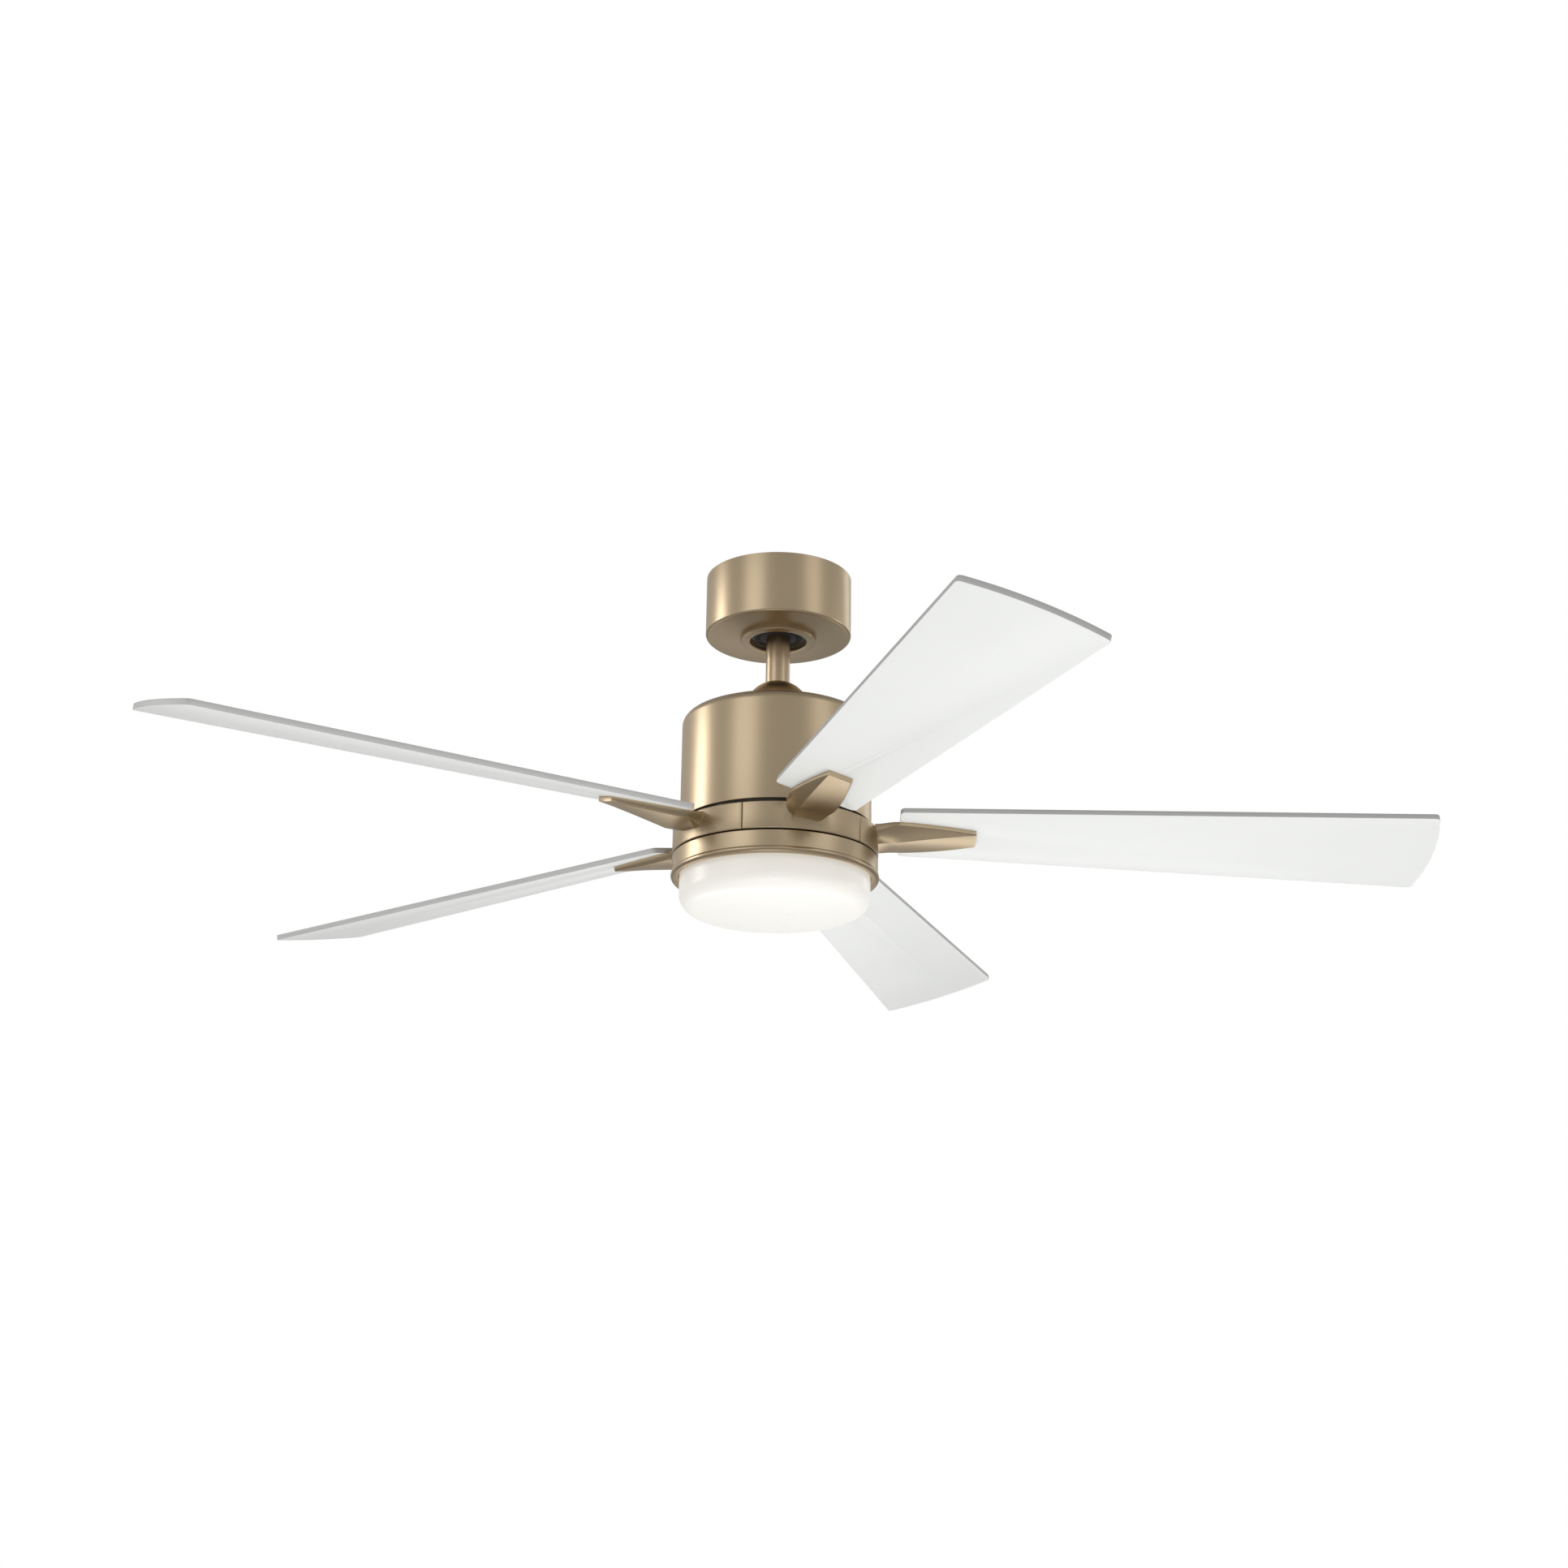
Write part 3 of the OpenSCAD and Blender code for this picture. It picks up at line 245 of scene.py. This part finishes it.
castAluminium = {
    "color": (0.60, 0.61, 0.62), "rough": 0.46, "roughSpread": 0.12,
    "cloud": 40.0, "grain": 2100.0, "grainBump": 0.28, "lift": 1.06, "drop": 0.88,
}
copperWire = {
    "color": (0.60, 0.25, 0.10), "metallic": 0.9, "rough": 0.30, "roughSpread": 0.1,
    "cloud": 50.0, "turns": 45.0, "wobble": 1.2, "wobbleDetail": 2.0, "grooveShadeShare": 0.7, "cloudShare": 0.3,
    "windBump": 0.55, "depth": 0.0003, "lift": 1.15, "drop": 0.70,
}


def metal(look, finish):
    # rolled or cast metal: cloudy tone and gloss under a very fine grain
    where = look.place()
    cloud = look.noise(where, finish["cloud"], metalSkin["cloudDetail"], metalSkin["cloudRough"])
    grain = look.noise(where, finish["grain"], metalSkin["grainDetail"])
    color = look.blend(cloud, tone(finish["color"], finish["drop"]), tone(finish["color"], finish["lift"]))
    rough = finish["rough"] + (cloud - 0.5) * finish["roughSpread"] + (grain - 0.5) * metalSkin["grainGloss"]
    return {"Base Color": color, "Metallic": 1.0, "Roughness": rough,
            "Normal": look.bump(grain, finish["grainBump"], metalSkin["depth"])}


def spunMetal(look, finish):
    # spun sheet: the polishing lines run level round the axis
    where = look.place()
    cloud = look.noise(where, finish["cloud"], metalSkin["cloudDetail"], metalSkin["cloudRough"])
    lines = look.noise(look.place(finish["lineStretch"]), finish["grain"],
                       finish["lineDetail"], finish["lineRough"])
    speck = look.noise(where, finish["speck"], metalSkin["grainDetail"])
    color = look.blend(cloud, tone(finish["color"], finish["drop"]), tone(finish["color"], finish["lift"]))
    rough = finish["rough"] + (cloud - 0.5) * finish["roughSpread"] + (lines - 0.5) * finish["lineGloss"]
    height = lines * finish["lineShare"] + speck * finish["speckShare"]
    return {"Base Color": color, "Metallic": 1.0, "Roughness": rough,
            "Normal": look.bump(height, finish["grainBump"], metalSkin["depth"])}


def wound(look, finish):
    # enamelled wire laid side by side, so the height has the wire's own pitch
    where = look.place()
    cloud = look.noise(where, finish["cloud"])
    lay = look.add("ShaderNodeTexWave", {"bands_direction": "Z", "wave_profile": "SIN"},
                   {"Vector": where, "Scale": finish["turns"],
                    "Distortion": finish["wobble"], "Detail": finish["wobbleDetail"]})
    # painted shade: the colour darkens in the grooves between turns, mixed with random cloudy tone
    color = look.blend(lay * finish["grooveShadeShare"] + cloud * finish["cloudShare"],
                       tone(finish["color"], finish["drop"]), tone(finish["color"], finish["lift"]))
    return {"Base Color": color, "Metallic": finish["metallic"],
            "Roughness": finish["rough"] + (cloud - 0.5) * finish["roughSpread"],
            "Normal": look.bump(lay, finish["windBump"], finish["depth"])}


coatSkin = {"cloud": 14.0, "cloudGloss": 0.10, "peelDetail": 2.0, "depth": 0.0003}
whiteLacquer = {
    "color": (0.87, 0.885, 0.87), "rough": 0.42, "orangePeel": 260.0, "peelBump": 0.05, "shade": 0.975,
}
# painted shade: a darker grey for the blades' side faces, standing in for the shade that falls on them
paintedSideShade = {
    "color": (0.62, 0.62, 0.615), "rough": 0.50, "orangePeel": 420.0, "peelBump": 0.10, "shade": 0.94,
}
whiteEnamel = {
    "color": (0.80, 0.80, 0.78), "rough": 0.38, "orangePeel": 900.0, "peelBump": 0.08, "shade": 0.95,
}
blackPlastic = {
    "color": (0.022, 0.022, 0.025), "rough": 0.55, "orangePeel": 1600.0, "peelBump": 0.30, "shade": 0.70,
}
redRubber = {
    "color": (0.34, 0.035, 0.025), "rough": 0.60, "orangePeel": 1200.0, "peelBump": 0.15, "shade": 0.80,
}
greenPaint = {
    "color": (0.05, 0.22, 0.07), "rough": 0.35, "orangePeel": 1500.0, "peelBump": 0.10, "shade": 0.80,
}


def coated(look, finish):
    # paint, lacquer or moulded plastic: even colour, faint clouds and an orange-peel skin
    where = look.place()
    cloud = look.noise(where, coatSkin["cloud"])
    peel = look.noise(where, finish["orangePeel"], coatSkin["peelDetail"])
    color = look.blend(cloud, tone(finish["color"], finish["shade"]), tone(finish["color"], 1.0))
    return {"Base Color": color, "Roughness": finish["rough"] + (cloud - 0.5) * coatSkin["cloudGloss"],
            "Normal": look.bump(peel, finish["peelBump"], coatSkin["depth"])}


opalGlass = {
    "color": (0.60, 0.59, 0.565), "warm": (1.0, 0.93, 0.82), "white": (1.0, 0.985, 0.93),
    "glow": 0.40, "warmGlow": 0.90, "rough": 0.28, "roughSpread": 0.06, "low": -0.363, "high": -0.320,
    "cloud": 30.0, "cloudGlow": 0.04, "etch": 2400.0, "etchDetail": 2.0, "etchBump": 0.06, "depth": 0.0002,
}


def litOpal(look, finish):
    # etched opal glass, lit from inside: whiter towards its middle, warmer near the ring
    where = look.add("ShaderNodeTexCoord", output="Object")
    cloud = look.noise(where, finish["cloud"])
    etch = look.noise(where, finish["etch"], finish["etchDetail"])
    rise = (look.part(where, "Z") - finish["low"]) / (finish["high"] - finish["low"])
    inside = look.add("ShaderNodeClamp", None, {"Value": rise + (cloud - 0.5) * finish["cloudGlow"]})
    glow = look.blend(inside, tone(finish["white"], 1.0), tone(finish["warm"], finish["warmGlow"]))
    return {"Base Color": tone(finish["color"], 1.0),
            "Roughness": finish["rough"] + (cloud - 0.5) * finish["roughSpread"],
            "Emission Color": glow, "Emission Strength": finish["glow"],
            "Normal": look.bump(etch, finish["etchBump"], finish["depth"])}


phosphor = {
    "color": (0.85, 0.62, 0.12), "light": (1.0, 0.90, 0.66), "glow": 1.2, "shade": 0.8,
    "rough": 0.25, "roughSpread": 0.1, "cloud": 700.0, "cloudDetail": 2.0,
}


def litChip(look, finish):
    where = look.place()
    cloud = look.noise(where, finish["cloud"], finish["cloudDetail"])
    color = look.blend(cloud, tone(finish["color"], finish["shade"]), tone(finish["color"], 1.0))
    return {"Base Color": color, "Roughness": finish["rough"] + cloud * finish["roughSpread"],
            "Emission Color": tone(finish["light"], 1.0), "Emission Strength": finish["glow"]}


def makeMaterials():
    return {
        "champagne_steel": newMaterial("champagneSteel", spunMetal, champagneSheet),
        "champagne_cast": newMaterial("champagneCast", metal, champagneCast),
        "zinc_steel": newMaterial("zincSteel", metal, zincSteel),
        "dark_steel": newMaterial("paintedShadeSteel", metal, paintedShadeSteel),
        "cast_aluminium": newMaterial("castAluminium", metal, castAluminium),
        "copper_wire": newMaterial("copperWire", wound, copperWire),
        "white_blade": newMaterial("whiteLacquer", coated, whiteLacquer),
        "white_enamel": newMaterial("whiteEnamel", coated, whiteEnamel),
        "black_plastic": newMaterial("blackPlastic", coated, blackPlastic),
        "red_insulation": newMaterial("redRubber", coated, redRubber),
        "green_paint": newMaterial("greenPaint", coated, greenPaint),
        "opal_glass": newMaterial("opalGlass", litOpal, opalGlass),
        "led_phosphor": newMaterial("ledPhosphor", litChip, phosphor),
    }


# pieces turned on a lathe, for rounder sides than the CAD mesh has

turning = {
    "steps": 192,
    "arcSteps": 8,
    "smooth": 30,  # degrees between faces that make an edge
    "sheet": 0.0012,  # thickness of the spun steel
    "burr": 0.0003,  # the tiny rounding of a trimmed edge
    "seam": 0.000001,  # points this close are joined where the turn closes
}


def arc(center, radius, start, end, steps=None):  # points from one angle to another, in degrees
    steps = steps or turning["arcSteps"]
    angles = [math.radians(start + (end - start) * index / steps) for index in range(steps + 1)]
    return [(center[0] + radius * math.cos(a), center[1] + radius * math.sin(a)) for a in angles]


def rounded(corners):
    # a closed outline of (radius from the axis, height, rounding) corners, with the rounding cut into steps
    points = []
    for index, (across, height, rounding) in enumerate(corners):
        here = Vector((across, height))
        if not rounding:
            points.append((across, height))
            continue
        back = (Vector(corners[index - 1][:2]) - here).normalized()
        ahead = (Vector(corners[(index + 1) % len(corners)][:2]) - here).normalized()
        half = back.angle(ahead) / 2
        center = here + (back + ahead).normalized() * rounding / math.sin(half)
        first, last = (here + way * rounding / math.tan(half) - center for way in (back, ahead))
        start, turn = math.degrees(math.atan2(first.y, first.x)), -math.degrees(first.angle_signed(last))
        points += arc(center, rounding, start, start + turn)
    return points


def lathe(pieceName, nodeName, outline, material, closed=True):
    mesh = bpy.data.meshes.new(pieceName)
    count = len(outline)
    edges = [(index, (index + 1) % count) for index in range(count if closed else count - 1)]
    mesh.from_pydata([(across, 0, height) for across, height in outline], edges, [])
    piece = bpy.data.objects.new(pieceName, mesh)
    bpy.context.scene.collection.objects.link(piece)
    spin = piece.modifiers.new("spin", "SCREW")
    spin.axis = "Z"
    spin.angle = math.tau
    spin.steps = spin.render_steps = turning["steps"]
    spin.use_merge_vertices = True
    spin.merge_threshold = turning["seam"]
    pickOnly(piece)
    bpy.ops.object.modifier_apply(modifier=spin.name)
    bpy.ops.object.mode_set(mode="EDIT")
    bpy.ops.mesh.select_all(action="SELECT")
    bpy.ops.mesh.remove_doubles(threshold=polish["weld"])
    bpy.ops.mesh.normals_make_consistent(inside=False)
    bpy.ops.object.mode_set(mode="OBJECT")
    bpy.ops.object.shade_smooth_by_angle(angle=math.radians(turning["smooth"]))
    piece.data.materials.append(material)
    standIn(piece, nodeName, material)


def extent(nodeName):  # the widest radius, the lowest and the highest point
    low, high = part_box(nodeName)
    return high[0], low[2], high[2]


canopyShells = {
    "mouthInset": 0.010,  # from the trim ring's edge to the rod's opening
    "cupEdge": 0.0025,
    "ringEdge": 0.0014,
    "ringWall": 0.0009,
    "ringRoof": 0.0026,
}


def makeCanopy(materials):
    steel = materials["champagne_steel"]
    sheet, burr = turning["sheet"], turning["burr"]
    edge, ringEdge, wall = canopyShells["cupEdge"], canopyShells["ringEdge"], canopyShells["ringWall"]
    wide, low, high = extent("canopy")
    ringWide, ringLow, ringHigh = extent("canopy_ring")
    hole, roof = ringWide - canopyShells["mouthInset"], ringHigh - canopyShells["ringRoof"]
    lathe("canopy_cup", "canopy", rounded([
        (hole, low, burr), (wide, low, edge), (wide, high, burr), (wide - sheet, high, 0),
        (wide - sheet, low + sheet, edge - sheet), (hole, low + sheet, 0)]), steel)
    lathe("canopy_trim", "canopy_ring", rounded([
        (hole, ringHigh, 0), (hole, ringLow, ringEdge), (ringWide, ringLow, ringEdge),
        (ringWide, ringHigh, 0), (ringWide - wall, ringHigh, 0), (ringWide - wall, roof, 0),
        (hole + wall, roof, 0), (hole + wall, ringHigh, 0)]), steel)


housingShell = {"shoulder": 0.010, "hole": 0.019}


def makeHousing(materials):
    sheet, shoulder, hole = turning["sheet"], housingShell["shoulder"], housingShell["hole"]
    wide, low, high = extent("motor_housing")
    lathe("housing_shell", "motor_housing", rounded([
        (hole, high, 0), (wide, high, shoulder), (wide, low, turning["burr"]), (wide - sheet, low, 0),
        (wide - sheet, high - sheet, shoulder - sheet), (hole, high - sheet, 0)]),
        materials["champagne_steel"])


couplingDome = {
    "side": 0.007,  # height of the straight side under the dome
    "rodGap": 0.0003,
    "arcSteps": 24,
}


def makeCover(materials):
    sheet, side, steps = turning["sheet"], couplingDome["side"], couplingDome["arcSteps"]
    wide, low, high = extent("coupling_cover")
    hole = extent("downrod")[0] + couplingDome["rodGap"]
    middle = low + side
    top = math.degrees(math.asin((high - middle) / wide))
    inTop = math.degrees(math.asin((high - sheet - middle) / (wide - sheet)))
    outline = [(hole, high), *reversed(arc((0, middle), wide, 0, top, steps)), (wide, low),
               (wide - sheet, low), *arc((0, middle), wide - sheet, 0, inTop, steps), (hole, high - sheet)]
    lathe("coupling_dome", "coupling_cover", outline, materials["champagne_steel"])


lightTrim = {
    "bead": 0.004,  # radius of the rolled bead round the glass
    "beadFlat": 0.0001,
    "beadOut": 0.0012,  # how far the bead stands out from the ring
    "wall": 0.0015,
    "flange": 0.013,
    "corner": 0.0006,
    "beadSteps": 20,
    "lipSteps": 6,
}


def makeLightRing(materials):
    beadWide, low, high = extent("light_ring")
    bead, wall, corner = lightTrim["bead"], lightTrim["wall"], lightTrim["corner"]
    wide = beadWide - lightTrim["beadOut"]
    center = (beadWide - bead, low + bead)
    mouth = center[0] - bead + lightTrim["beadFlat"]
    outer, inner, lip = (math.degrees(math.acos((edge - center[0]) / bead))
                         for edge in (wide, wide - wall, mouth))
    flange, shelf = wide - lightTrim["flange"], high - turning["sheet"]
    outline = [(flange, high), (wide - corner, high),
               *reversed(arc((wide - corner, high - corner), corner, 0, 90)),
               *arc(center, bead, outer, -lip, lightTrim["beadSteps"]),
               *arc(center, bead, lip, inner, lightTrim["lipSteps"]),
               (wide - wall, shelf), (flange, shelf)]
    lathe("light_trim", "light_ring", outline, materials["champagne_steel"])


opalBowl = {
    "wall": 0.003,
    "corner": 0.016,
    "dome": 0.600,  # radius of the shallow lower face
    "neckIn": 0.00275,
    "neckDrop": 0.010,
    "domeSteps": 12,
    "cornerSteps": 14,
}


def makeGlass(materials):
    wide, low, high = extent("glass_shade")
    dome, corner, wall = opalBowl["dome"], opalBowl["corner"], opalBowl["wall"]
    domeSteps, cornerSteps = opalBowl["domeSteps"], opalBowl["cornerSteps"]
    domeCenter = (0, low + dome)
    reach = wide - corner
    cornerHeight = domeCenter[1] - math.sqrt((dome - corner) ** 2 - reach ** 2)
    lean = math.degrees(math.atan2(cornerHeight - domeCenter[1], reach))
    cornerCenter = (reach, cornerHeight)
    neck, shelf = wide - opalBowl["neckIn"], high - opalBowl["neckDrop"]
    outer = arc(domeCenter, dome, -90, lean, domeSteps) + arc(cornerCenter, corner, lean, 0, cornerSteps)
    inner = (arc(cornerCenter, corner - wall, 0, lean, cornerSteps)
             + arc(domeCenter, dome - wall, lean, -90, domeSteps))
    outline = outer + [(wide, shelf), (neck, shelf), (neck, high), (neck - wall, high), (neck - wall, shelf)]
    outline = [(max(across, 0.0), height) for across, height in outline + inner]
    lathe("opal_bowl", "glass_shade", outline, materials["opal_glass"], closed=False)


# polished copies of the CAD pieces whose edges catch the light

polish = {
    "weld": 0.000002,
    "flat": 0.4,  # degrees between faces that are one face
    "segments": 2,  # faces across a rounded edge
}
bladeCount = 5
armPolish = {"edge": 0.0007, "sharp": 24.0}  # sharp: degrees between faces that make an edge
bladePolish = {"edge": 0.0006, "sharp": 40.0, "side": 0.6}  # side: how level a face's normal may be for the face to get the painted shade of the blade's sides


def pickOnly(piece):
    bpy.ops.object.select_all(action="DESELECT")
    piece.select_set(True)
    bpy.context.view_layer.objects.active = piece


def copyOf(nodeName, pieceName):
    piece = nodes[nodeName].copy()
    piece.data = nodes[nodeName].data.copy()
    for key in list(piece.keys()):
        if key.startswith("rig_"):
            del piece[key]
    piece.name = pieceName
    piece.parent = None
    bpy.context.scene.collection.objects.link(piece)
    pickOnly(piece)
    bpy.ops.object.mode_set(mode="EDIT")
    bpy.ops.mesh.select_all(action="SELECT")
    bpy.ops.mesh.remove_doubles(threshold=polish["weld"])
    bpy.ops.mesh.customdata_custom_splitnormals_clear()
    bpy.ops.mesh.dissolve_limited(angle_limit=math.radians(polish["flat"]))
    bpy.ops.object.mode_set(mode="OBJECT")
    return piece


def roundEdges(piece, width, sharp):
    bevel = piece.modifiers.new("edges", "BEVEL")
    bevel.width = width
    bevel.segments = polish["segments"]
    bevel.limit_method = "ANGLE"
    bevel.angle_limit = math.radians(sharp)
    bevel.use_clamp_overlap = True
    pickOnly(piece)
    bpy.ops.object.modifier_apply(modifier=bevel.name)
    bpy.ops.object.shade_smooth_by_angle(angle=math.radians(sharp))


def standIn(piece, nodeName, material):
    for slot in piece.material_slots:
        slot.material = material
    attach(piece, bodyOf[nodeName])
    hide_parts(nodeName)


def makeArms(materials):
    for number in range(1, bladeCount + 1):
        nodeName = f"blade_arm_{number}"
        piece = copyOf(nodeName, f"arm_{number}")
        roundEdges(piece, armPolish["edge"], armPolish["sharp"])
        standIn(piece, nodeName, materials["champagne_cast"])


def makeBlades(materials):
    edge = newMaterial("paintedSideShade", coated, paintedSideShade)
    for number in range(1, bladeCount + 1):
        nodeName = f"blade_{number}"
        piece = copyOf(nodeName, f"fan_blade_{number}")
        roundEdges(piece, bladePolish["edge"], bladePolish["sharp"])
        standIn(piece, nodeName, materials["white_blade"])
        piece.data.materials.append(edge)
        # the level-facing side faces get the darker grey of painted shade
        for face in piece.data.polygons:
            if abs(face.normal.z) < bladePolish["side"]:
                face.material_index = 1


def paintNodes(materials):
    for name, node in nodes.items():
        for slot in node.material_slots:
            slot.material = materials[slotOf[name]]


def makeStudio():
    bpy.ops.object.select_all(action="DESELECT")
    bpy.ops.mesh.primitive_plane_add(size=studio["floorSize"], location=(0, 0, -studio["floorDrop"]))
    floor = bpy.context.object
    floor.name = "floor"
    material = bpy.data.materials.new("floorPaint")
    material.use_nodes = True
    look = Look(material.node_tree)
    shader = look.add("ShaderNodeBsdfPrincipled", None,
                      {"Base Color": studio["floorColor"], "Roughness": studio["floorRough"],
                       "Emission Color": studio["floorColor"], "Emission Strength": studio["floorGlow"]},
                      output="BSDF")
    look.add("ShaderNodeOutputMaterial", None, {"Surface": shader})
    floor.data.materials.append(material)
    floor.visible_glossy = floor.visible_diffuse = False
    for lamp in studio["lamps"]:
        addLamp(*lamp)
    for lamp in studio["mirrorLamps"]:
        addLamp(*lamp).visible_diffuse = False
    for lamp in studio["softLamps"]:
        addLamp(*lamp).visible_glossy = False
    world = bpy.data.worlds.new("studioWorld")
    bpy.context.scene.world = world
    world.use_nodes = True
    look = Look(world.node_tree)
    seen = look.add("ShaderNodeLightPath", output="Is Camera Ray")
    way = look.add("ShaderNodeTexCoord", output="Generated")
    stops = [(place, (level, level, level, 1.0)) for place, level in studio["sky"]]
    shade = look.add("ShaderNodeValToRGB", {"stops": stops}, {"Fac": look.part(way, "Z") * 0.5 + 0.5})
    soft = look.add("ShaderNodeBackground", None, {"Color": studio["skyColor"], "Strength": shade})
    white = look.add("ShaderNodeBackground", None, {"Color": studio["backdrop"], "Strength": 1.0})
    both = look.add("ShaderNodeMixShader", None, {0: seen, 1: soft, 2: white})
    look.add("ShaderNodeOutputWorld", None, {"Surface": both})
    bpy.context.scene.view_settings.view_transform = "Standard"


setCamera()
makeStudio()
print("camera and studio set")
materials = makeMaterials()
paintNodes(materials)
print("materials made:", len(materials))
makeArms(materials)
print("arms polished")
makeBlades(materials)
print("blades polished")
makeCanopy(materials)
makeHousing(materials)
makeCover(materials)
makeLightRing(materials)
makeGlass(materials)
print("covers, light ring and glass turned")
